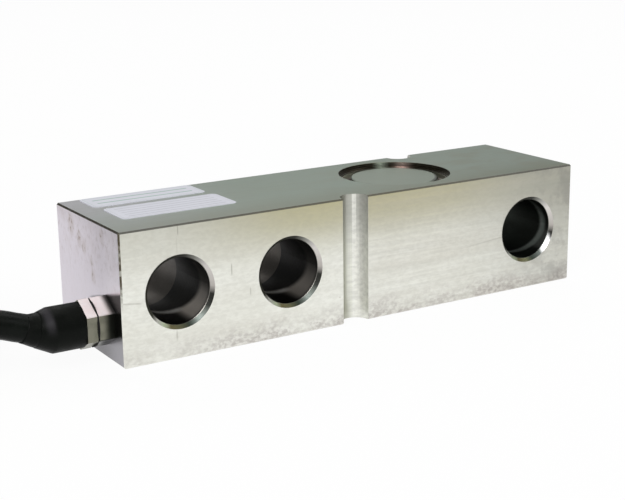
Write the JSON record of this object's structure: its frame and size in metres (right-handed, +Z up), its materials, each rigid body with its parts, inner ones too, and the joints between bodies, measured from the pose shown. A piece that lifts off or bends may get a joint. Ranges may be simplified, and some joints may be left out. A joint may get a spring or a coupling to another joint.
{
  "type": "shear beam load cell",
  "caption": "Rectangular steel bar with cross holes, a round sealed gauge pocket on each wide side and a cable gland at one end; senses the load that shears the bar.",
  "frame": {"origin": "middle of the beam's underside as the cell lies on one of its pocketed sides", "axes": "+X along the beam from the cable end to the load end, +Y along the cross holes towards the back face, +Z up through the gauge pockets"},
  "size_m": [0.3791, 0.0865, 0.0415],
  "materials": {
    "beam_steel": "satin ground stainless steel, faintly lined and stained",
    "cover_steel": "satin pressed stainless sheet",
    "gland_metal": "bright nickel plated brass",
    "black_rubber": "satin black rubber",
    "cable_jacket": "satin black jacket",
    "seal_rubber": "soft black rubber",
    "tie_nylon": "black nylon",
    "sleeve_black": "black shrink sleeve",
    "label_white": "plain white label",
    "gauge_film": "amber polyimide film with foil grids",
    "board_green": "green solder-masked board",
    "pad_white": "foam adhesive pad",
    "resistor_body": "lacquered resistor",
    "core_red_pvc": "red insulation",
    "core_black_pvc": "black insulation",
    "core_green_pvc": "green insulation",
    "core_white_pvc": "white insulation",
    "enamel_wire": "enamelled copper wire",
    "tinned_copper": "tinned copper strands"
  },
  "bodies": {
    "root": {"beam": "beam_steel", "upper_gauge_cover": "cover_steel", "lower_gauge_cover": "cover_steel", "upper_strain_gauge": "gauge_film", "lower_strain_gauge": "gauge_film", "board_pad": "pad_white", "bridge_board": "board_green", "bridge_resistors": "resistor_body", "core_red": "core_red_pvc", "core_black": "core_black_pvc", "core_green": "core_green_pvc", "core_white": "core_white_pvc", "lower_gauge_leads": "enamel_wire", "upper_gauge_leads": "enamel_wire", "front_label": "label_white", "back_label": "label_white", "cable": "cable_jacket", "cable_hank": "cable_jacket", "cable_end": "cable_jacket", "gland_body": "gland_metal", "gland_seal": "seal_rubber", "gland_washer": "seal_rubber", "gland_locknut": "gland_metal", "cable_boot": "black_rubber", "front_tie": "tie_nylon", "back_tie": "tie_nylon", "end_sleeve": "sleeve_black", "tail_red": "core_red_pvc", "tail_black": "core_black_pvc", "tail_green": "core_green_pvc", "tail_white": "core_white_pvc", "core_tips": "tinned_copper", "drain_wire": "tinned_copper"}
  },
  "joints": []
}
